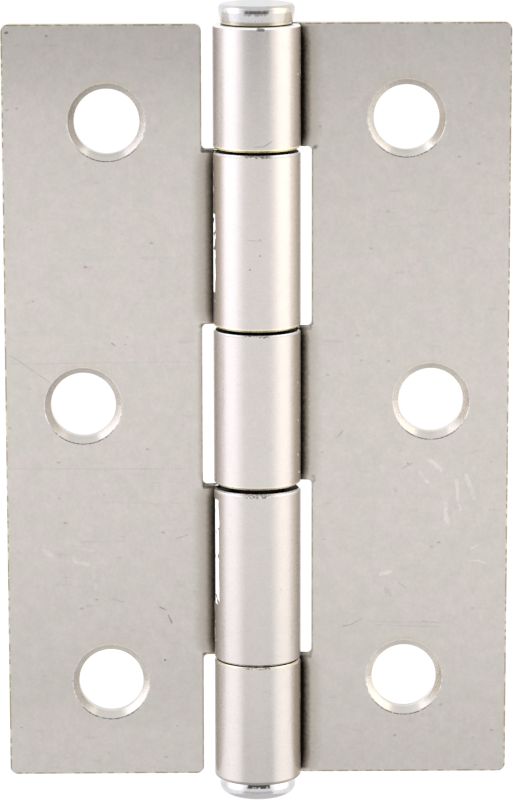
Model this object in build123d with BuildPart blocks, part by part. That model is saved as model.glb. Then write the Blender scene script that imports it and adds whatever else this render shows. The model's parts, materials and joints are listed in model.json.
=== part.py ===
from build123d import *
import math
import os

# Butt hinge of rolled sheet steel, laid open flat, in millimetres.
# The pin stands along Z through the origin, and the front of the leaves faces -Y.

# Sheet and leaves
leaf_height = 76.2
leaf_reach = 25.1  # pin axis to a leaf's outer edge
sheet = 1.5
setback = 0.8  # front face of a leaf behind the pin axis
corner_radius = 0.75
edge_bevel = 0.2  # drawn-in edge of the punched blank, on the side that becomes the outside of the roll

# Rolled knuckles
knuckle_radius = 4.33
swage_radius = 4.5  # middle of the sheet in the bend between leaf and roll
seam_gap = 0.85  # free end of the roll to the face that it closes on
roll_end_bevel = 0.2
end_knuckle = 12.2
middle_knuckle = 15.5
end_gap = 0.25  # end knuckle to door knuckle, with the leaves level
middle_gap = 0.5  # middle knuckle to door knuckle, with the leaves level
running_gap = 0.13  # left under the door leaf, which hangs low by the rest of the end gap
notch_land = 0.1  # flat left between the bend and a notch
notch_corner = 0.45

# Screw holes
hole_radius = 3.25
sink_depth = 0.58
sink_angle = 90
end_hole_inset = 10.3  # from the leaf's outer edge
end_hole_margin = 9.65  # from the leaf's top or bottom edge
middle_hole_inset = 7.75
frame_hole_lift = 0.24  # the frame leaf's holes are punched a little high

# Pin, headed at the top and riveted over at the bottom
pin_clearance = 0.05
head_inset = 0.55  # head's widest ring inside the knuckle's outside
head_flare = 0.26
head_height = 2.0
head_shoulder = 1.3  # height of the widest ring
head_rounding = 0.45
rivet_inset = 0.51
rivet_flare = 0.12
rivet_height = 1.8
rivet_shoulder = 0.75
rivet_rounding = 0.95
nib_radius = 1.15
nib_height = 0.6
nib_bevel = 0.2

# Places that follow from those sizes
half_height = leaf_height / 2
bore_radius = knuckle_radius - sheet
pin_radius = bore_radius - pin_clearance
door_sag = end_gap - running_gap
door_knuckle_high = half_height - end_knuckle - end_gap
door_knuckle_low = middle_knuckle / 2 + middle_gap
sink_radius = hole_radius + sink_depth * math.tan(math.radians(sink_angle / 2))
head_radius = knuckle_radius - head_inset
head_top = half_height + head_height
rivet_radius = knuckle_radius - rivet_inset
rivet_bottom = -half_height - rivet_height
nib_bottom = rivet_bottom - nib_height

# The bend's centre lies behind the leaf, where bend and roll are tangent
bend_distance = knuckle_radius - sheet / 2 + swage_radius
bend_y = setback + sheet / 2 + swage_radius
bend_x = math.sqrt(bend_distance**2 - bend_y**2)
bend_turn = math.degrees(math.atan2(bend_x, bend_y))
bend_front = swage_radius + sheet / 2
bend_back = swage_radius - sheet / 2
notch_edge = bend_x + notch_land

# The roll stops where its outer corner is one seam gap from the bend's front face
seam_side = knuckle_radius**2 + bend_distance**2 - (bend_front + seam_gap) ** 2
seam_angle = math.degrees(math.acos(seam_side / (2 * knuckle_radius * bend_distance)))
roll_turn = 360 - seam_angle

# Heights of the notches that each leaf leaves for the other's knuckles
frame_notches = [
    (middle_knuckle / 2, half_height - end_knuckle),
    (end_knuckle - half_height, -middle_knuckle / 2),
]
notch_run_out = half_height + corner_radius + notch_corner
door_notches = [
    (door_knuckle_high, notch_run_out),
    (-door_knuckle_low, door_knuckle_low),
    (-notch_run_out, -door_knuckle_high),
]

# Section of a leaf: flat, bent back behind the pin and rolled round it
with BuildSketch() as leaf_section:
    with BuildLine():
        back = Line((leaf_reach, setback + sheet), (bend_x, setback + sheet))
        back_bend = JernArc(back @ 1, back % 1, bend_back, -bend_turn)
        outer_roll = JernArc(back_bend @ 1, back_bend % 1, knuckle_radius, roll_turn)
        front = Line((leaf_reach, setback), (bend_x, setback))
        front_bend = JernArc(front @ 1, front % 1, bend_front, -bend_turn)
        inner_roll = JernArc(front_bend @ 1, front_bend % 1, bore_radius, roll_turn)
        Line(outer_roll @ 1, inner_roll @ 1)
        Line(back @ 0, front @ 0)
    make_face()
    chamfer(vertices().sort_by_distance(outer_roll @ 1)[0], roll_end_bevel)
    chamfer(vertices().sort_by_distance(inner_roll @ 1)[0], roll_end_bevel)


def on_outside(arc):
    """Whether an arc lies on the back of the bend or on the outside of the roll."""
    return math.isclose(arc.radius, bend_back) or math.isclose(arc.radius, knuckle_radius)


def rolled_leaf(notches, hole_lift=0):
    """A leaf on the right of the pin, with its notches, drawn-in edges and screw holes."""
    with BuildPart() as leaf:
        with BuildSketch(Plane.XY.offset(-half_height)):
            add(leaf_section.sketch)
        extrude(amount=leaf_height)

        # Notches go right through the sheet and the roll
        with BuildSketch(Plane.XZ):
            for low, high in notches:
                with Locations((0, (low + high) / 2)):
                    Rectangle(2 * notch_edge, high - low)
            fillet(vertices(), notch_corner)
        extrude(amount=leaf_height, both=True, mode=Mode.SUBTRACT)

        # Corners of the blank, then its edge on the back of the leaf and the outside of the roll
        corners = edges().filter_by(Axis.Y).group_by(Axis.Z)
        fillet(corners[0] + corners[-1], corner_radius)
        flat_start = bend_x + notch_land / 2
        bend_lines = edges().filter_by(Axis.Z).filter_by_position(Axis.X, -leaf_reach, flat_start)
        back_edges = faces().filter_by(Axis.Y).sort_by(Axis.Y)[-1].edges()
        roll_edges = edges().filter_by(GeomType.CIRCLE).filter_by(on_outside)
        chamfer(back_edges + roll_edges - bend_lines, edge_bevel)

        # Countersunk screw holes, the middle one further from the pin
        with Locations(Plane.XZ.offset(-setback)):
            with Locations(
                (leaf_reach - end_hole_inset, half_height - end_hole_margin + hole_lift),
                (leaf_reach - middle_hole_inset, hole_lift),
                (leaf_reach - end_hole_inset, end_hole_margin - half_height + hole_lift),
            ):
                CounterSinkHole(hole_radius, sink_radius, counter_sink_angle=sink_angle)
    return leaf


# Frame leaf, on the right, with the end knuckles and the middle one
frame_leaf = rolled_leaf(frame_notches, frame_hole_lift)

# Door leaf, on the left, with the two knuckles between
door_blank = rolled_leaf(door_notches)
with BuildPart() as door_leaf:
    with Locations((0, 0, -door_sag)):
        add(door_blank.part)
    mirror(about=Plane.YZ, mode=Mode.REPLACE)

# Pin, turned about its axis, its heads seated on the end knuckles
with BuildPart() as pin:
    with BuildSketch(Plane.XZ):
        with BuildLine():
            Polyline(
                (0, head_top),
                (head_radius, head_top),
                (head_radius, half_height + head_shoulder),
                (head_radius - head_flare, half_height),
                (pin_radius, half_height),
                (pin_radius, -half_height),
                (rivet_radius - rivet_flare, -half_height),
                (rivet_radius, -half_height - rivet_shoulder),
                (rivet_radius, rivet_bottom),
                (nib_radius, rivet_bottom),
                (nib_radius, nib_bottom),
                (0, nib_bottom),
                close=True,
            )
        make_face()
        fillet(vertices().sort_by_distance((head_radius, head_top))[0], head_rounding)
        fillet(vertices().sort_by_distance((rivet_radius, rivet_bottom))[0], rivet_rounding)
        chamfer(vertices().sort_by_distance((nib_radius, nib_bottom))[0], nib_bevel)
    revolve(axis=Axis.Z)

frame_leaf.part.label = "frame_leaf"
door_leaf.part.label = "door_leaf"
pin.part.label = "pin"

os.makedirs("parts", exist_ok=True)
export_step(frame_leaf.part, "parts/frame_leaf.step")
export_step(door_leaf.part, "parts/door_leaf.step")
export_step(pin.part, "parts/pin.step")
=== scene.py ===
import bpy
import bmesh
import json
import math
from functools import reduce
from mathutils import Matrix, Vector


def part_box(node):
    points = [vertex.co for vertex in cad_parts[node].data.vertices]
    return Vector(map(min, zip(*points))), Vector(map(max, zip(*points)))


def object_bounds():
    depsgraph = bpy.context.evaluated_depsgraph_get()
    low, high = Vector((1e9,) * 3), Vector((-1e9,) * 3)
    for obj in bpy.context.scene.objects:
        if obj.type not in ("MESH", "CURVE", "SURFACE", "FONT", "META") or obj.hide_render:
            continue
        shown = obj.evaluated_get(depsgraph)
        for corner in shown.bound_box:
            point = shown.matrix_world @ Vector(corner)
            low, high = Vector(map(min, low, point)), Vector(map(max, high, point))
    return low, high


# Steel butt hinge, laid open flat: finishes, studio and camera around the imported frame, in metres.
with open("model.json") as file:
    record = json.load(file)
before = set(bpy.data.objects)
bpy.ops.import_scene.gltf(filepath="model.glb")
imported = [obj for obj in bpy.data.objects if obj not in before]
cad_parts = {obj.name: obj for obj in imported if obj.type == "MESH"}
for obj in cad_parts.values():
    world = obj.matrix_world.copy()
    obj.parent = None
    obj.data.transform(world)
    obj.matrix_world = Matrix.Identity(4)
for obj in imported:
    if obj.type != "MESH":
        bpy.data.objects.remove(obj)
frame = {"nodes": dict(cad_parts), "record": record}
cad_low, cad_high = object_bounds()
scene = bpy.context.scene
scene.view_settings.view_transform = "Standard"

MM = 0.001

# Camera, at the photograph's viewing angle
CAMERA_PLACE = Vector((-4.1, -397.9, 79.35)) * MM
CAMERA_PITCH = math.radians(11.2)  # down
CAMERA_YAW = math.radians(-0.58)
CAMERA_ROLL = math.radians(-0.106)
CAMERA_LENS = 183.26
CAMERA_NEAR = 0.01

# Studio, as seen from the hinge: directions in degrees, 0 straight in front and positive to the right
STUDIO_REACH = 0.7
AMBIENT = 0.4
FLOOR_SIZE = 20
FLOOR_DROP = 0.25
FLOOR_PALE = (0.9, 0.9, 0.9, 1.0)
FLOOR_GLOW = 0.68
BOX_WIDTH = 1.3
BOX_HEIGHT = 1.1
BOX_LIFT = 18
BOX_HALF_ANGLE = 9
BOX_SOFT_ANGLE = 36
BOX_FOOT = -0.40  # height where a softbox starts to glow
BOX_FULL = -0.08  # height where it glows in full
CARD_STREAKS = 2.0  # streaks in a card's height
CARD_DARKEST = 0.03
WHITE = (1.0, 1.0, 1.0, 1.0)

# Sizes that the finishes follow, in millimetres
ROLL_RADIUS = 4.33
SHEET = 1.5
FRONT = 0.8  # front face of the leaves, behind the pin's axis
BACK = FRONT + SHEET
SINK_RADIUS = 3.83
HOLE_NEAR = 6  # around a screw hole's axis
HOLE_FAR = 8
NOTCH_EDGE = 5.456
LEAF_END = 38.1  # heights are from the leaf's middle
END_KNUCKLE = 12.2
MIDDLE_KNUCKLE = 15.5
END_GAP = 0.25
MIDDLE_GAP = 0.5
NOTCH_TOP = LEAF_END - END_KNUCKLE
NOTCH_FOOT = MIDDLE_KNUCKLE / 2
DOOR_KNUCKLE_TOP = NOTCH_TOP - END_GAP
DOOR_KNUCKLE_FOOT = NOTCH_FOOT + MIDDLE_GAP
MIDDLE_END = (NOTCH_FOOT + DOOR_KNUCKLE_FOOT) / 2
UPPER_END = 0.17  # half the height of the painted highlight of bare steel at a knuckle's upper end
LOWER_END = 0.3  # and of the painted yellowish highlight at its lower end, which is painted shade at the leaf's end
RIM_HALF = 0.03  # half the width of the burr around a countersink
MASK_SOFT = 0.05  # how softly most masks end
CREASE_HEIGHT = 16.9  # middle of the creases beside the door leaf's knuckles
DOOR_CREASE_HALF = 8.65
FRAME_NOTCH_HALF = 8.8

# Heights of the leaves' cut edges and knuckle ends, those that face up and those that face down
FRAME_TOPS = (LEAF_END, NOTCH_FOOT, -NOTCH_TOP)
FRAME_FEET = (NOTCH_TOP, -NOTCH_FOOT, -LEAF_END)
DOOR_TOPS = (LEAF_END, DOOR_KNUCKLE_TOP, -DOOR_KNUCKLE_FOOT)
DOOR_FEET = (DOOR_KNUCKLE_FOOT, -DOOR_KNUCKLE_TOP, -LEAF_END)

# Colours
MAUVE_STEEL = (0.650, 0.600, 0.573, 1.0)
GREEN_STEEL = (0.632, 0.604, 0.562, 1.0)
ROLL_STEEL = (0.650, 0.612, 0.590, 1.0)
SINK_STEEL = (0.640, 0.610, 0.570, 1.0)
# cut steel, and the painted yellow highlight on the rolls' lower ends
CUT_STEEL_AND_HIGHLIGHT = (0.930, 0.840, 0.540, 1.0)
# bare steel, and painted highlights on the rolls' upper ends and the countersinks' rims
BARE_STEEL_AND_HIGHLIGHT = (0.950, 0.945, 0.940, 1.0)
PIN_STEEL = (0.700, 0.690, 0.705, 1.0)
SCUFF = (0.830, 0.780, 0.745, 1.0)
# tarnish, and painted shade on the rolls' sides, beside the notches and in the creases
TARNISH_AND_SHADE = (0.400, 0.352, 0.295, 1.0)
# scratches and wear, and painted shade on notch floors and a roll's foot, and a painted reflection on the
# pin's head
SCRATCH_AND_SHADE = (0.200, 0.180, 0.155, 1.0)
# near black, for dirt and for painted shade in the rolls, the creases and along the pin
GRIME_AND_SHADE = (0.014, 0.010, 0.007, 1.0)
# dust, and painted shade on the rolls and in the creases, and under the pin's head
DUST_AND_SHADE = (0.330, 0.270, 0.190, 1.0)
# stain, and the painted warm reflection on the pin's head
STAIN_AND_REFLECTION = (0.610, 0.545, 0.430, 1.0)

# Polish, and the relief of the steel in millimetres
LEAF_ROUGHNESS = 0.34
ROLL_ROUGHNESS = 0.28
SINK_ROUGHNESS = 0.25
BURR_ROUGHNESS = 0.3
PIN_ROUGHNESS = 0.12
GRAIN_ROUGHNESS = 0.1  # between the dullest and the brightest grain
DIRT_AND_SHADE_ROUGHNESS = 0.3
NOTCH_FLOOR_ROUGHNESS = 0.65
LEAF_RELIEF = 0.004
PIN_RELIEF = 0.003
RIM_LIFT = 0.16  # how far a knuckle's worn rim looks up
BURR_TURN = math.radians(37)  # which way a burr's bright facet looks, from straight ahead

# Noises on the steel: scale in each millimetre, detail and roughness
PATCHES = (0.32, 3.0, 0.5)
CLOUDS = (0.9, 4.0, 0.6)
GRAIN = (2.6, 4.0, 0.65)
FINE_GRAIN = (9.0, 2.0, 0.5)
SPECK_CLUSTERS = (0.45, 1.0, 0.5)
DASHES = (1.1, 3.0, 0.5)
RAGGED_RIM = (3.0, 2.0, 0.5)
RIM_DIRT = (5.0, 2.0, 0.5)
WANDER = (0.8, 2.0, 0.5)
BREAKS = (1.5, 3.0, 0.5)
NICKS = (1.6, 3.0, 0.5)
RIM_WEAR = (3.6, 3.0, 0.5)
BURR_BREAKS = (0.9, 3.0, 0.5)
PIN_RINGS = (1.2, 3.0, 0.5)
PIN_GRAIN = (2.2, 4.0, 0.6)
PIN_REFLECTION_NOISE = (2.0, 2.0, 0.5)
PIN_COMB = (3.0, 2.0, 0.5)

# How strongly each shows in the tone
CLOUD_TONE = 0.19
GRAIN_TONE = 0.23
FINE_TONE = 0.10
SPECK_TONE = 0.25
DASH_TONE = 0.07
TURNED_TONE = 0.03
TURNED_RINGS = 70  # radians of a countersink's turning marks in a millimetre

# Marks on the front of the leaves, in millimetres across and up: start, end, half width and depth of tone
DOOR_SCRATCHES = [
    ((-24.6, 5.05), (-20.6, 2.2), 0.02, 0.40),
    ((-24.6, 4.15), (-6.7, 4.3), 0.03, 0.12),
    ((-24.7, -6.54), (-6.7, -6.62), 0.03, 0.14),
    ((-15.8, -10.05), (-6.7, -10.1), 0.03, 0.10),
    ((-8.2, -13.8), (-7.0, -13.4), 0.04, 0.35),
    ((-14.45, 6.2), (-14.1, 5.95), 0.05, 0.60),
    ((-9.85, -20.8), (-9.3, -21.15), 0.04, 0.60),
    ((-9.0, -21.7), (-8.65, -22.5), 0.05, 0.70),
    ((-14.9, -19.9), (-13.4, -20.3), 0.05, 0.20),
    ((-9.36, -26.35), (-9.34, -26.35), 0.07, 0.90),
    ((-20.63, 36.85), (-20.58, 36.85), 0.08, 0.75),
    ((-12.93, 6.84), (-12.9, 6.84), 0.06, 0.60),
    ((-1.2, 17.32), (0.4, 17.25), 0.02, 0.35),
    ((0.25, 17.36), (0.4, 17.36), 0.06, 0.60),
    ((0.24, 15.77), (0.27, 15.77), 0.06, 0.60),
    ((-0.74, 14.39), (-0.72, 14.39), 0.06, 0.70),
    ((-24.6, 37.15), (-24.45, 37.2), 0.10, 0.80),
    ((-5.38, 26.4), (-5.35, 26.1), 0.08, 0.75),
    ((-5.2, 25.47), (-4.5, 25.42), 0.06, 0.60),
    ((-5.5, 7.95), (-5.4, 8.0), 0.11, 0.85),
    ((-5.6, 7.9), (-5.4, 8.0), 0.20, 0.35),
    ((-5.4, -7.2), (-5.38, -7.75), 0.07, 0.75),
    ((-5.2, -8.3), (-4.5, -8.45), 0.07, 0.70),
    ((-5.4, -25.75), (-5.25, -25.65), 0.09, 0.80),
]
DOOR_SCUFFS = [
    ((-21.65, -14.8), (-20.65, -15.4), 0.12, 0.35),
    ((-18.3, -14.1), (-17.8, -14.4), 0.12, 0.35),
    ((-17.5, -14.86), (-16.5, -15.0), 0.08, 0.30),
    ((-18.6, -15.6), (-18.2, -16.1), 0.10, 0.30),
    ((-18.2, -16.1), (-17.0, -16.45), 0.10, 0.35),
    ((-16.45, -16.6), (-16.25, -18.8), 0.10, 0.20),
]
FRAME_SCRATCHES = [
    ((8.63, -22.9), (9.4, -22.75), 0.04, 0.40),
    ((9.4, -22.75), (10.5, -22.1), 0.04, 0.30),
    ((11.0, -22.4), (18.4, -22.6), 0.05, 0.12),
    ((12.0, -22.8), (18.4, -23.0), 0.06, 0.12),
    ((16.6, -22.4), (18.4, -22.6), 0.04, 0.25),
    ((14.4, -6.7), (15.5, -6.1), 0.04, 0.30),
    ((7.75, -3.38), (8.15, -3.35), 0.04, 0.30),
    ((8.15, -3.35), (8.57, -2.72), 0.04, 0.40),
    ((14.2, -18.35), (15.0, -18.95), 0.03, 0.25),
    ((12.95, -19.1), (13.35, -19.65), 0.20, 0.14),
    ((13.8, -8.7), (13.9, -9.0), 0.15, 0.15),
    ((17.45, -14.65), (17.55, -14.7), 0.12, 0.20),
    ((15.08, -6.1), (15.12, -6.12), 0.06, 0.50),
    ((-0.2, 26.5), (0.6, 26.52), 0.04, 0.30),
    ((0.6, 26.52), (1.45, 27.0), 0.04, 0.40),
    ((0.1, 37.95), (0.6, 37.9), 0.12, 0.90),
    ((5.7, 25.8), (5.8, 25.8), 0.10, 0.85),
    ((5.7, 25.75), (5.85, 25.85), 0.20, 0.45),
    ((5.42, 8.5), (5.45, 8.1), 0.06, 0.70),
    ((5.6, -7.45), (5.65, -7.85), 0.16, 0.55),
    ((5.4, -25.2), (5.36, -25.5), 0.09, 0.75),
]
FRAME_SCUFFS = [
    ((17.3, -5.6), (18.4, -6.8), 0.16, 0.55),
    ((16.3, -7.0), (17.1, -8.05), 0.12, 0.55),
    ((20.0, -7.85), (20.35, -10.9), 0.12, 0.50),
    ((21.0, -7.3), (21.75, -9.7), 0.14, 0.50),
    ((18.83, -9.9), (19.05, -12.2), 0.16, 0.60),
    ((12.4, -17.6), (13.4, -17.25), 0.14, 0.60),
    ((21.6, -16.2), (23.0, -16.4), 0.05, 0.50),
    ((21.6, -14.8), (22.2, -14.5), 0.06, 0.40),
    ((12.4, -6.3), (12.55, -7.0), 0.08, 0.35),
]
SCUFF_SOFT = 0.10
SCRATCH_SOFT = 0.05

# Burrs on the rolls' free edges: foot, head, how far out they start and end, and how bright they are
FRAME_BURRS = [(26.2, 37.8, 4.27, 4.4, 0.3), (-7.5, 7.5, 4.27, 4.4, 0.3), (-37.8, -26.2, 4.27, 4.4, 0.3)]
DOOR_BURRS = [
    (11.7, 19.4, 4.09, 4.4, 1.0),
    (19.4, 25.2, 4.26, 4.4, 0.5),
    (-19.9, -9.3, 3.84, 4.19, 1.0),
    (-25.2, -19.9, 4.26, 4.4, 0.5),
]


class Wire:
    """A socket in a node tree. Arithmetic on it adds Math nodes."""

    def __init__(self, tree, socket=None):
        self.tree = tree
        self.socket = socket

    def node(self, kind, settings=(), sockets=(), output=0):
        """Adds any node: its settings first, then the values or links of its sockets."""
        made = self.tree.nodes.new(kind)
        for name, value in dict(settings).items():
            setattr(made, name, value)
        for key, value in dict(sockets).items():
            if isinstance(value, Wire):
                self.tree.links.new(value.socket, made.inputs[key])
            else:
                made.inputs[key].default_value = value
        return Wire(self.tree, made.outputs[output] if made.outputs else None)

    def math(self, operation, *values):
        return self.node("ShaderNodeMath", {"operation": operation}, enumerate(values))

    def __add__(self, other):
        return self.math("ADD", self, other)

    def __sub__(self, other):
        return self.math("SUBTRACT", self, other)

    def __rsub__(self, other):
        return self.math("SUBTRACT", other, self)

    def __mul__(self, other):
        return self.math("MULTIPLY", self, other)

    def __truediv__(self, other):
        return self.math("DIVIDE", self, other)

    def __pow__(self, other):
        return self.math("POWER", self, other)

    def __abs__(self):
        return self.math("ABSOLUTE", self)

    __radd__ = __add__
    __rmul__ = __mul__

    def lowest(self, other):
        return self.math("MINIMUM", self, other)

    def highest(self, other):
        return self.math("MAXIMUM", self, other)

    def clamped(self):
        return self.node("ShaderNodeClamp", sockets={"Value": self})

    def rise(self, low, high, full=1.0):
        """0 below low and full above high, smoothly; or the other way round where low is the greater."""
        sockets = {"Value": self, "From Min": low, "From Max": high, "To Max": full}
        return self.node("ShaderNodeMapRange", {"interpolation_type": "SMOOTHSTEP"}, sockets)

    def band(self, centre, half_width, soft):
        """1 within half a width of centre, falling to 0 over the soft distance."""
        return abs(self - centre).rise(half_width + soft, half_width)

    def split(self):
        """The three parts of a vector."""
        return [self.node("ShaderNodeSeparateXYZ", sockets={0: self}, output=axis) for axis in range(3)]

    def vector(self, operation, *values):
        """A Vector Math node; a dot product or a distance gives a number."""
        output = "Value" if operation in ("DOT_PRODUCT", "DISTANCE") else "Vector"
        return self.node("ShaderNodeVectorMath", {"operation": operation}, enumerate(values), output)

    def scaled(self, factor):
        """A vector or a colour, times a number."""
        return self.node("ShaderNodeVectorMath", {"operation": "SCALE"}, {0: self, "Scale": factor})

    def stretched(self, across, deep, up):
        """A place, with its three directions scaled apart."""
        return self.vector("MULTIPLY", self, (across, deep, up))

    def world_normal(self, way):
        """A direction on the object, as a normal in the world."""
        settings = {"vector_type": "NORMAL", "convert_from": "OBJECT", "convert_to": "WORLD"}
        return self.node("ShaderNodeVectorTransform", settings, {0: way})

    def mix(self, first, second, share):
        """A share of the second colour in the first."""
        return self.node("ShaderNodeMix", {"data_type": "RGBA"}, {0: share, 6: first, 7: second}, 2)

    def noise(self, scale, detail, roughness):
        """Cloudy noise at this place, about 0.5."""
        sockets = {"Vector": self, "Scale": scale, "Detail": detail, "Roughness": roughness}
        return self.node("ShaderNodeTexNoise", sockets=sockets)

    def about_zero(self):
        """Noise that swings about 0 instead of 0.5."""
        return self - 0.5

    def spots(self, scale, size):
        """Scattered round spots, 1 inside; their size is a share of their spacing."""
        away = self.node("ShaderNodeTexVoronoi", sockets={"Vector": self, "Scale": scale})
        return away.rise(size, size / 2)


def greatest(wires):
    """The greatest of several values."""
    return reduce(Wire.highest, wires)


def new_tree(owner):
    """An owner's node tree, emptied, as a Wire to build from."""
    owner.use_nodes = True
    owner.node_tree.nodes.clear()
    return Wire(owner.node_tree)


def seen_directly(tree):
    """1 for rays from the camera, and for reflections and glass, which show the same background."""
    rays = ("Is Camera Ray", "Is Glossy Ray", "Is Transmission Ray")
    return greatest(tree.node("ShaderNodeLightPath", output=ray) for ray in rays)


def white_world():
    scene.world = bpy.data.worlds.new("studio_white")
    tree = new_tree(scene.world)
    strength = seen_directly(tree) * (1 - AMBIENT) + AMBIENT
    white = tree.node("ShaderNodeBackground", sockets={"Color": WHITE, "Strength": strength})
    tree.node("ShaderNodeOutputWorld", sockets={"Surface": white})


def towards(azimuth, elevation):
    """Unit vector from the hinge to a place in the studio."""
    a, e = math.radians(azimuth), math.radians(elevation)
    return Vector((math.sin(a) * math.cos(e), -math.cos(a) * math.cos(e), math.sin(e)))


def facing(azimuth, elevation, reach):
    """A place in the studio, turned to face the hinge."""
    way = towards(azimuth, elevation)
    turn = way.to_track_quat("Z", "Y").to_matrix().to_4x4()
    return Matrix.Translation(way * reach) @ turn


def softbox(name, azimuth, radiance, colour):
    """An area lamp beside the hinge, soft at its sides and its foot, that shows in reflections."""
    lamp = bpy.data.lights.new(name, "AREA")
    lamp.shape = "RECTANGLE"
    lamp.size = BOX_WIDTH
    lamp.size_y = BOX_HEIGHT
    lamp.color = colour
    lamp.energy = radiance * math.pi * BOX_WIDTH * BOX_HEIGHT
    tree = new_tree(lamp)
    x, y, z = tree.node("ShaderNodeNewGeometry", output="Position").split()
    angle = x.math("ARCTAN2", x, 0 - y) * math.degrees(1)
    soft = angle.band(azimuth, BOX_HALF_ANGLE, BOX_SOFT_ANGLE) * z.rise(BOX_FOOT, BOX_FULL)
    glow = tree.node("ShaderNodeEmission", sockets={"Color": WHITE, "Strength": soft})
    tree.node("ShaderNodeOutputLight", sockets={"Surface": glow})
    box = bpy.data.objects.new(name, lamp)
    box.matrix_world = facing(azimuth, BOX_LIFT, STUDIO_REACH)
    box.visible_camera = False
    scene.collection.objects.link(box)


def plane(name, width, height, place):
    """A flat stage piece."""
    mesh = bpy.data.meshes.new(name)
    form = bmesh.new()
    bmesh.ops.create_grid(form, x_segments=1, y_segments=1, size=0.5)
    bmesh.ops.scale(form, vec=(width, height, 1), verts=form.verts)
    form.to_mesh(mesh)
    form.free()
    piece = bpy.data.objects.new(name, mesh)
    piece.matrix_world = place
    scene.collection.objects.link(piece)
    return piece


def card(name, elevation, reach, width, height, tone, streaks=0.0):
    """A grey card in front of the hinge that only reflections see, even or with upright streaks."""
    piece = plane(name, width, height, facing(0, elevation, reach))
    piece.visible_camera = False
    piece.visible_diffuse = False
    piece.visible_shadow = False
    material = bpy.data.materials.new(name)
    piece.data.materials.append(material)
    tree = new_tree(material)
    strength = tone
    if streaks:
        across = tree.node("ShaderNodeTexCoord", output="Object").stretched(1 / height, 0.0, 0.0)
        streaky = across.noise(CARD_STREAKS, detail=2.0, roughness=0.5).about_zero()
        strength = (streaky * streaks + tone).highest(CARD_DARKEST)
    grey = tree.node("ShaderNodeEmission", sockets={"Color": WHITE, "Strength": strength})
    tree.node("ShaderNodeOutputMaterial", sockets={"Surface": grey})


def floor():
    """Pale floor, white to the camera and to reflections, that still takes a shadow."""
    piece = plane("floor", FLOOR_SIZE, FLOOR_SIZE, Matrix.Translation((0, 0, cad_low.z - FLOOR_DROP)))
    material = bpy.data.materials.new("pale_floor")
    piece.data.materials.append(material)
    tree = new_tree(material)
    pale = tree.node("ShaderNodeBsdfDiffuse", sockets={"Color": FLOOR_PALE})
    strength = seen_directly(tree) * FLOOR_GLOW
    glow = tree.node("ShaderNodeEmission", sockets={"Color": WHITE, "Strength": strength})
    both = tree.node("ShaderNodeAddShader", sockets={0: pale, 1: glow})
    tree.node("ShaderNodeOutputMaterial", sockets={"Surface": both})


def camera():
    lens = bpy.data.cameras.new("camera")
    lens.lens = CAMERA_LENS
    lens.clip_start = CAMERA_NEAR
    eye = bpy.data.objects.new("camera", lens)
    pitch, yaw, roll = CAMERA_PITCH, CAMERA_YAW, CAMERA_ROLL
    ahead = Vector((-math.sin(yaw) * math.cos(pitch), math.cos(yaw) * math.cos(pitch), -math.sin(pitch)))
    level = Vector((math.cos(yaw), math.sin(yaw), 0))
    upright = level.cross(ahead)
    right = level * math.cos(roll) + upright * math.sin(roll)
    up = upright * math.cos(roll) - level * math.sin(roll)
    eye.matrix_world = Matrix.Translation(CAMERA_PLACE) @ Matrix((right, up, -ahead)).transposed().to_4x4()
    scene.collection.objects.link(eye)
    scene.camera = eye


def new_finish(node):
    """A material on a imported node, and the place on it in millimetres, whole and as x, y and z."""
    material = bpy.data.materials.new(f"{node}_finish")
    for slot in frame["nodes"][node].material_slots:
        slot.material = material
    tree = new_tree(material)
    place = tree.node("ShaderNodeTexCoord", output="Object").scaled(1 / MM)
    return tree, place, *place.split()


def steel_shader(tree, colour, roughness, normal):
    sockets = {"Base Color": colour, "Metallic": 1.0, "Roughness": roughness, "Normal": normal}
    return tree.node("ShaderNodeBsdfPrincipled", sockets=sockets)


def bumped_steel(tree, colour, roughness, height, relief):
    """Steel on which a height of 1 stands proud by the relief, in millimetres."""
    sockets = {"Strength": 1.0, "Distance": relief * MM, "Height": height}
    return steel_shader(tree, colour, roughness, tree.node("ShaderNodeBump", sockets=sockets))


def bright_facet(tree, side):
    """Bare steel turned up along an edge, which looks partly sideways."""
    way = (side * math.sin(BURR_TURN), -math.cos(BURR_TURN), 0.0)
    return steel_shader(tree, BARE_STEEL_AND_HIGHLIGHT, BURR_ROUGHNESS, tree.world_normal(way))


def rounded_rim(tree, place, colour, roughness):
    """Steel at a knuckle's worn upper end, which looks outwards and a little up."""
    outwards = tree.vector("NORMALIZE", place.stretched(1.0, 1.0, 0.0))
    way = tree.vector("ADD", outwards, (0.0, 0.0, RIM_LIFT))
    return steel_shader(tree, colour, roughness, tree.world_normal(way))


def strokes(x, z, marks, soft):
    """Straight marks, each at its own depth of tone."""
    place = x.node("ShaderNodeCombineXYZ", sockets={"X": x, "Z": z})
    tones = []
    for (start_x, start_z), (end_x, end_z), half_width, depth in marks:
        run = Vector((end_x - start_x, 0, end_z - start_z))
        offset = place.vector("SUBTRACT", place, (start_x, 0, start_z))
        along = place.vector("DOT_PRODUCT", offset, run / run.length_squared).clamped()
        nearest = place.node("ShaderNodeVectorMath", {"operation": "SCALE"}, {0: run, "Scale": along})
        away = place.vector("DISTANCE", offset, nearest)
        tones.append(away.rise(half_width + soft, half_width, depth))
    return greatest(tones)


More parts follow.
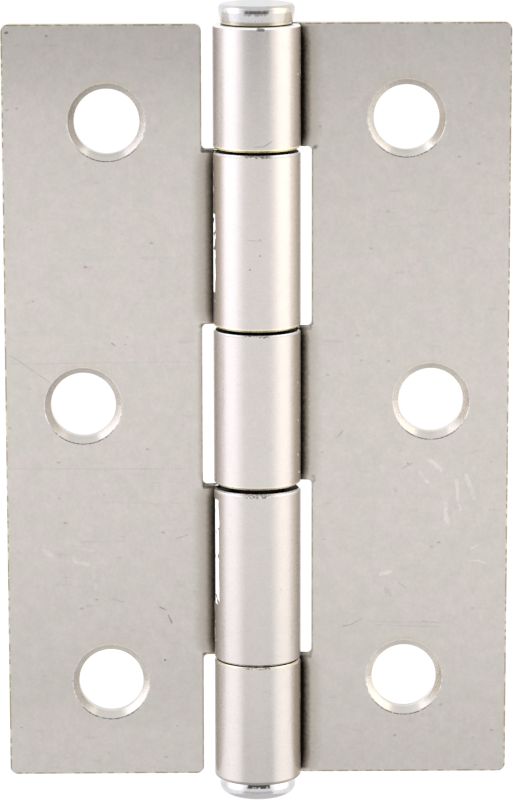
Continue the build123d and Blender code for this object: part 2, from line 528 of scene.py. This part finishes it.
def nearest_hole(node, x, z):
    """Distance from the nearest screw hole's axis, and the way from there: 1 to the right, and 1 down."""
    rings, rights, lows = [], [], []
    for mount in frame["record"]["mounts"]:
        if mount["kind"] == "bore" and mount["name"].startswith(node):
            hole_x, _, hole_z = (part / MM for part in mount["pos_m"])
            off_x, off_z = x - hole_x, hole_z - z
            away = (off_x * off_x + off_z * off_z) ** 0.5
            close = away.rise(HOLE_FAR, HOLE_NEAR) / away
            rings.append(away)
            rights.append(off_x * close)
            lows.append(off_z * close)
    return reduce(Wire.lowest, rings), reduce(Wire.__add__, rights), reduce(Wire.__add__, lows)


def frame_knuckles(height, soft):
    """1 at the heights of the frame leaf's knuckles."""
    return 1 - height.band(CREASE_HEIGHT, FRAME_NOTCH_HALF, soft)


def door_knuckles(height, soft):
    """1 at the heights of the door leaf's knuckles."""
    return height.band(CREASE_HEIGHT, DOOR_CREASE_HALF - soft, soft)


class Leaf:
    """The finish of one leaf, laid on coat by coat. Its masks are 1 at the places they are named for."""

    def __init__(self, node, side, tops, feet, own_knuckles):
        self.node = node
        self.side = side
        self.tops = tops
        self.feet = feet
        self.own_knuckles = own_knuckles
        self.tree, self.place, self.x, self.y, self.z = new_finish(node)
        low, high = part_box(node)
        self.reach = max(-low.x, high.x) / MM
        self.out = self.x * side  # from the pin's axis towards the leaf's outer edge
        self.off = abs(self.x)  # from the pin's axis to either side
        self.level = self.z - (low.z + high.z) / 2 / MM  # up from the leaf's middle
        self.height = abs(self.level)
        self.radius = (self.x * self.x + self.y * self.y) ** 0.5

        self.roll = self.radius.rise(ROLL_RADIUS + 0.09, ROLL_RADIUS + 0.03)
        self.front = self.y.rise(FRONT + 0.12, FRONT + 0.03)
        self.ahead = self.y.rise(BACK - 0.05, BACK - 0.15)
        self.middle = self.height.rise(MIDDLE_END + 1, MIDDLE_END - 1)
        self.within = self.height.rise(LEAF_END - 0.5, LEAF_END - 0.7)
        self.upper_ends = greatest(self.level.band(top, UPPER_END, MASK_SOFT) for top in tops) * self.roll
        self.lower_ends = greatest(self.level.band(foot, LOWER_END, MASK_SOFT) for foot in feet) * self.roll

        self.grain = self.place.noise(*GRAIN)
        self.fine = self.place.noise(*FINE_GRAIN)
        self.wander = self.place.noise(*WANDER).about_zero() * 0.5
        self.broken = self.place.noise(*BREAKS).rise(0.3, 0.55)
        self.dirt_and_shade = []

    def coat(self, colour, share):
        """Lays a share of a colour over what is there."""
        self.colour = self.tree.mix(self.colour, colour, share)

    def plate(self, fade, end_fade, side_shade, side_shade_climb):
        """Satin sheet with mauve and green patches, mottling, specks and dashes, and burnished rolls;
        painted shade on the rolls' sides and a painted gradient up the leaf.
        """
        place, level, roll = self.place, self.level, self.roll
        patches = place.noise(*PATCHES).rise(0.32, 0.68)
        specks = place.stretched(0.6, 1.0, 1.0).spots(0.7, 0.11)
        specks = specks * place.noise(*SPECK_CLUSTERS).rise(0.48, 0.6)
        dashes = place.stretched(0.3, 1.0, 1.2).noise(*DASHES).rise(0.66, 0.72)
        mottle = place.noise(*CLOUDS).about_zero() * CLOUD_TONE + self.grain.about_zero() * GRAIN_TONE
        mottle = mottle + self.fine.about_zero() * FINE_TONE - specks * SPECK_TONE - dashes * DASH_TONE
        # Painted shading: the leaf's tone slopes with height, and slopes differently near its ends.
        near_end = self.height.rise(28, 35)
        painted_shading = level * (near_end * end_fade + fade)
        # Painted shade on the rolls' sides: brown towards both edges, and more on the side of the leaf's
        # crease, changing with height.
        both_sides = self.off.rise(3.4, 4.15) * roll
        outer_side = self.out.rise(3.2, 3.9) * roll
        self.colour = self.tree.mix(self.tree.mix(MAUVE_STEEL, GREEN_STEEL, patches), ROLL_STEEL, roll)
        self.coat(TARNISH_AND_SHADE, both_sides * 0.7)
        self.coat(DUST_AND_SHADE, outer_side * (level * side_shade_climb + side_shade))
        self.colour = self.colour.scaled(1 + painted_shading + mottle * (1 - roll * 0.5))
        burnish = roll * (ROLL_ROUGHNESS - LEAF_ROUGHNESS)
        self.roughness = LEAF_ROUGHNESS + burnish + self.grain.about_zero() * GRAIN_ROUGHNESS

    def countersink(self, glint):
        """Turned countersinks, with a burr at the rim, a stain above and dirt below."""
        ring, right, lower = nearest_hole(self.node, self.x, self.z)
        sink = ring.rise(SINK_RADIUS + 0.03, SINK_RADIUS - 0.03) * self.ahead
        turned = ring.math("SINE", ring * TURNED_RINGS) * TURNED_TONE
        shine = right.highest(right * -0.35) * glint
        self.coat(SINK_STEEL, sink)
        self.colour = self.colour.scaled(1 + sink * (turned + shine))
        self.roughness = self.roughness + sink * (SINK_ROUGHNESS - LEAF_ROUGHNESS)
        ragged = self.place.noise(*RAGGED_RIM).rise(0.42, 0.58)
        above = ring.rise(SINK_RADIUS + 0.8, SINK_RADIUS) * lower.rise(-0.5, -1.0) * (1 - sink)
        self.coat(STAIN_AND_REFLECTION, above * self.front * (0.2 + ragged * 0.5))
        burr = ring.band(SINK_RADIUS + 0.05, RIM_HALF, MASK_SOFT) * self.front * ragged
        # Bare steel around the rim, brighter on the lower side as a painted highlight.
        self.coat(BARE_STEEL_AND_HIGHLIGHT, burr * (0.3 + lower.band(0.45, 0.3, 0.2) * 0.6))
        below = ring.band(SINK_RADIUS + 0.08, RIM_HALF, MASK_SOFT) * self.front * lower.rise(0.45, 0.9)
        self.dirt_and_shade.append(below * self.place.noise(*RIM_DIRT).rise(0.25, 0.6) * 0.8)

    def cut_edges(self):
        """Yellowish cut edges, a painted yellow highlight on the rolls' lower ends, painted shade beside
        the notches, and a dark, ragged line where the edges meet the front.
        """
        out, level, height = self.out, self.level, self.height
        outer = out.rise(self.reach - 0.03, self.reach - 0.01)
        outer = outer.highest(height.rise(LEAF_END - 0.2, LEAF_END - 0.05))
        inner = greatest(level.band(cut, 0.05, 0.15) for cut in self.tops[1:] + self.feet[:-1])
        inner = inner * out.rise(NOTCH_EDGE + 0.1, NOTCH_EDGE) * 0.4
        faces = outer.highest(inner) * (1 - self.front)
        # Painted highlight: yellow along the rolls' lower ends above the gaps, fading towards the bottom of
        # the hinge.
        higher_up = level.rise(-34, 26)
        knuckle_feet = self.lower_ends * self.within * higher_up
        side_lip = out.rise(self.reach - 0.2, self.reach - 0.06)
        self.coat(CUT_STEEL_AND_HIGHLIGHT, greatest([faces, knuckle_feet, side_lip * 0.5]) * 0.9)

        sheet_front = self.front * (1 - self.roll)
        notch = 1 - self.own_knuckles(height, 0.2)
        # Painted shade on the front beside the notches, wider beside the middle knuckle.
        from_notch = (out - NOTCH_EDGE) * (1 - self.middle * 0.6)
        self.coat(TARNISH_AND_SHADE, from_notch.rise(0.25, 0.0) * notch * sheet_front * 0.7)
        end_lip = height.rise(LEAF_END - 0.2, LEAF_END - 0.06)
        notch_lip = out.rise(NOTCH_EDGE + 0.14, NOTCH_EDGE + 0.04) * notch
        nicks = self.place.noise(*NICKS).rise(0.42, 0.54)
        self.coat(DUST_AND_SHADE, greatest([side_lip, end_lip, notch_lip]) * sheet_front * nicks * 0.9)

    def knuckle_ends(self):
        """Upper ends of the rolls with a painted highlight of bare steel, worn in the middle, and painted
        shade at the roll's foot at the leaf's end.
        """
        off, within = self.off, self.within
        # Painted highlight: bare steel along the rolls' upper ends, yellower low down and less in the
        # middle.
        low_down = self.level.rise(-15, -24)
        bare = self.tree.mix(BARE_STEEL_AND_HIGHLIGHT, CUT_STEEL_AND_HIGHLIGHT, low_down * 0.5)
        beside_middle = off.rise(1.5, 3.2)
        short_of_sides = off.rise(4.25, 3.95)
        bared = (0.35 + beside_middle * 0.55) * short_of_sides
        self.coat(bare, self.upper_ends * bared.highest(1 - within))
        in_middle = off.rise(1.7, 0.9)
        worn = self.upper_ends * within * in_middle * self.place.noise(*RIM_WEAR).rise(0.5, 0.56)
        # Worn nicks in the middle of the upper ends; painted shade along the roll's foot at the leaf's
        # lower end.
        self.coat(SCRATCH_AND_SHADE, (worn * 0.85).highest(self.lower_ends * (1 - within) * 0.6))

    def marks_of_use(self, scuffs, scratches):
        """Pale scuffs and dark scratches on the front."""
        x, z, wander, broken = self.x, self.z, self.wander, self.broken
        jagged = wander + self.grain.about_zero() * 0.5
        self.coat(SCUFF, strokes(x + jagged, z + wander, scuffs, SCUFF_SOFT) * self.front * broken)
        sway = wander * 0.3
        scratched = strokes(x + sway, z + sway, scratches, SCRATCH_SOFT)
        self.coat(SCRATCH_AND_SHADE, scratched * self.front * (0.4 + broken * 0.6))

    def crease(self, near, far, middle_clear):
        """Masks of painted shade in the crease beside the leaf's own knuckles, partly tarnish and dust: a
        dull halo, and the dark itself.
        """
        height = self.height
        leaf_end = height.rise(36, 38.3)
        knuckle_end = 1 - self.own_knuckles(height, 1.6)
        narrowed = self.middle * middle_clear + leaf_end * 0.3 + knuckle_end * 0.35
        ragged = self.out + self.grain.about_zero() * 0.4 + narrowed
        sheltered = (1 - self.roll) * self.ahead * height.rise(LEAF_END - 0.15, LEAF_END - 0.5)
        dulled = ragged.rise(far + 1.2, far - 0.3) * self.own_knuckles(height, 0.4) * sheltered
        creased = ragged.rise(far, near) * self.own_knuckles(height, 0.2) * sheltered
        return dulled, creased

    def worn_rims(self, depths):
        """Mask of the knuckles' ends that gaps show, each to its depth behind the roll's front."""
        behind_front = self.y + (ROLL_RADIUS**2 - self.x * self.x).highest(0.0) ** 0.5
        rims = []
        for top, depth in zip(self.tops[1:], depths):
            at_top = self.level.band(top, 0.05, MASK_SOFT)
            rims.append(at_top * behind_front.rise(depth + MASK_SOFT, depth))
        return greatest(rims)

    def notch_floors(self):
        """Mask of the notches' cut edges that face up, for uneven painted shade in the slits."""
        floors = greatest(self.level.band(top + 0.1, 0.32, 0.1) for top in self.tops[1:])
        inner = self.out.rise(NOTCH_EDGE + 0.03, NOTCH_EDGE - 0.05) * (1 - self.roll)
        return floors * inner * (0.6 + self.broken * 0.4)

    def shade_and_grime(self, crease_near, crease_far, halo, middle_clear, rim_depths, notch_floor_shade):
        """Painted shade inside the rolls, on the notches' floors and in the creases, where it is partly
        tarnish and dust.
        """
        dulled, creased = self.crease(crease_near, crease_far, middle_clear)
        rims = self.worn_rims(rim_depths)
        self.turned_rims = rims * self.roll
        # Painted shade on the notches' floors in the slits under the knuckles, with a rougher finish.
        self.shaded_notch_floors = self.notch_floors() * notch_floor_shade
        # Painted shade in the crease, partly tarnish and dust: a brown halo, then dark brown nearer the
        # roll.
        self.coat(TARNISH_AND_SHADE, dulled * halo)
        self.coat(SCRATCH_AND_SHADE, self.shaded_notch_floors)
        self.coat(DUST_AND_SHADE, creased.rise(0.0, 0.4) * 0.6)
        # Painted shade, near black: inside the rolls, on the knuckles' ends and in the bore; the crease's
        # dark is laid on here too.
        inside = self.radius.rise(ROLL_RADIUS - 0.2, ROLL_RADIUS - 0.25)
        inside = inside * self.height.rise(LEAF_END - 0.1, LEAF_END - 0.3) * (1 - rims)
        self.dirt_and_shade += [creased**1.6, inside]

    def burr(self, burrs):
        """Bright burrs along the rolls' free edges, painted shade on the roll beyond them, and flecks of
        the same bare steel.
        """
        out, on_roll = self.out, self.roll * self.front
        ahead_of_pin = self.y.rise(-0.5, -0.6)
        lines = []
        for foot, head, start, end, brightness in burrs:
            along = self.z.band((foot + head) / 2, (head - foot) / 2, 0.1) * on_roll
            line = (out + self.wander * 0.4).rise(start, start + MASK_SOFT) * out.rise(end + 0.04, end)
            lines.append(line * along * ahead_of_pin * brightness)
            # Painted shade on the roll beyond each burr, where the crease's dark reaches round.
            self.dirt_and_shade.append(out.rise(end, end + 0.04) * along)
        broad = self.place.noise(*BURR_BREAKS).rise(0.36, 0.40)
        flecks = self.place.spots(1.1, 0.16) * out.band(4.12, 0.1, 0.05) * on_roll * 0.6
        self.bright = (greatest(lines) * broad).highest(flecks)

    def finish(self):
        """Dirt and painted shade over the coats, then the steel, its turned rims and its burrs in one
        surface.
        """
        tree = self.tree
        dirt_and_shade = greatest(self.dirt_and_shade)
        self.coat(GRIME_AND_SHADE, dirt_and_shade)
        dulling = (dirt_and_shade * DIRT_AND_SHADE_ROUGHNESS).highest(self.shaded_notch_floors * NOTCH_FLOOR_ROUGHNESS)
        bumps = (self.grain * 0.6 + self.fine * 0.4) * (1 - self.roll * 0.8)
        sheet = bumped_steel(tree, self.colour, self.roughness + dulling, bumps, LEAF_RELIEF)
        rim = rounded_rim(tree, self.place, self.colour, self.roughness)
        rimmed = tree.node("ShaderNodeMixShader", sockets={0: self.turned_rims, 1: sheet, 2: rim})
        facet = bright_facet(tree, self.side)
        both = tree.node("ShaderNodeMixShader", sockets={0: self.bright, 1: rimmed, 2: facet})
        tree.node("ShaderNodeOutputMaterial", sockets={"Surface": both})


def frame_leaf_finish():
    leaf = Leaf("frame_leaf", 1, FRAME_TOPS, FRAME_FEET, frame_knuckles)
    leaf.plate(fade=0.0, end_fade=0.0003, side_shade=0.5, side_shade_climb=-0.006)
    leaf.countersink(glint=0.45)
    leaf.cut_edges()
    leaf.knuckle_ends()
    leaf.marks_of_use(FRAME_SCUFFS, FRAME_SCRATCHES)
    leaf.shade_and_grime(
        crease_near=4.55,
        crease_far=5.6,
        halo=0.5,
        middle_clear=0.12,
        rim_depths=(0.4, 0.25),
        notch_floor_shade=0.42,
    )
    leaf.burr(FRAME_BURRS)
    leaf.finish()


def door_leaf_finish():
    leaf = Leaf("door_leaf", -1, DOOR_TOPS, DOOR_FEET, door_knuckles)
    leaf.plate(fade=0.0017, end_fade=-0.0027, side_shade=0.36, side_shade_climb=0.012)
    leaf.countersink(glint=0.12)
    leaf.cut_edges()
    leaf.knuckle_ends()
    leaf.marks_of_use(DOOR_SCUFFS, DOOR_SCRATCHES)
    leaf.shade_and_grime(
        crease_near=4.15,
        crease_far=5.5,
        halo=0.75,
        middle_clear=0.0,
        rim_depths=(0.75, 1.1),
        notch_floor_shade=0.74,
    )
    leaf.burr(DOOR_BURRS)
    leaf.finish()


def pin_finish():
    """Bright drawn steel with turning marks and specks, a yellow-brown band under the head, painted
    reflections on the head and the rivet, and painted shade along the shaft and at the heads' seats.
    """
    tree, place, x, _, z = new_finish("pin")
    seat = abs(z) - LEAF_END  # from the end knuckle that a head sits on
    head = z.rise(-0.1, 0.1)
    rivet = 1 - head
    middle = x.band(-0.2, 1.2, 1.0)

    rings = place.stretched(0.15, 0.15, 6.0).noise(*PIN_RINGS)
    grain = place.noise(*PIN_GRAIN)
    specks = place.spots(1.6, 0.16)
    shade = 1 + grain.about_zero() * 0.12 + rings.about_zero() * 0.08 - specks * 0.15
    # The head is painted darker across its middle as a reflection; the rivet is darker away from its seat.
    shade = shade - middle * head * 0.24 - rivet * seat.rise(0.3, 0.9) * 0.14

    # A yellow-brown band under the head, darker in its middle as a painted reflection, and a painted warm
    # reflection on the head's right side.
    under_head = seat.rise(0.52, 0.36) * head
    warm = x.rise(0.2, 2.4) * head * 0.5
    steel = tree.mix(PIN_STEEL, STAIN_AND_REFLECTION, warm.highest(under_head * 0.9))
    steel = tree.mix(steel, DUST_AND_SHADE, under_head * middle * 0.6).scaled(shade)
    # Painted reflection: a dark, ragged patch across the head's middle near its top.
    comb = place.stretched(1.0, 1.0, 0.2).noise(*PIN_COMB).about_zero() * 0.6
    dark_reflection = (seat + comb).rise(1.0, 1.25) * seat.rise(1.55, 1.45) * x.band(-0.1, 0.95, 0.35) * head
    steel = tree.mix(steel, SCRATCH_AND_SHADE, dark_reflection * 0.75)

    # Painted reflection: a dark, ragged patch across the rivet's middle just under the knuckle.
    ragged = place.noise(*PIN_REFLECTION_NOISE).rise(0.35, 0.5)
    rivet_reflection = seat.rise(0.55, 0.42) * abs(x).rise(1.25, 1.1) * ragged * rivet
    # Painted shade along the shaft inside the knuckles and at each head's seat.
    dark = seat.rise(0.13, 0.08).highest(rivet_reflection * 0.9)
    steel = tree.mix(steel, GRIME_AND_SHADE, dark)
    rough = PIN_ROUGHNESS + grain.about_zero() * GRAIN_ROUGHNESS + specks * 0.1 + dark * 0.4
    metal = bumped_steel(tree, steel, rough, rings * 0.5 + grain, PIN_RELIEF)
    tree.node("ShaderNodeOutputMaterial", sockets={"Surface": metal})


white_world()
floor()
softbox("left_softbox", azimuth=-75, radiance=0.80, colour=(0.90, 0.87, 1.0))
softbox("right_softbox", azimuth=76, radiance=0.76, colour=(1.0, 0.90, 0.78))
card("camera_card", elevation=22.5, reach=0.108, width=0.150, height=0.036, tone=0.36, streaks=1.6)
card("lower_card", elevation=-42, reach=0.1345, width=0.200, height=0.060, tone=0.73)
card("under_card", elevation=-88, reach=0.200, width=0.300, height=0.300, tone=0.82)
camera()
frame_leaf_finish()
door_leaf_finish()
pin_finish()
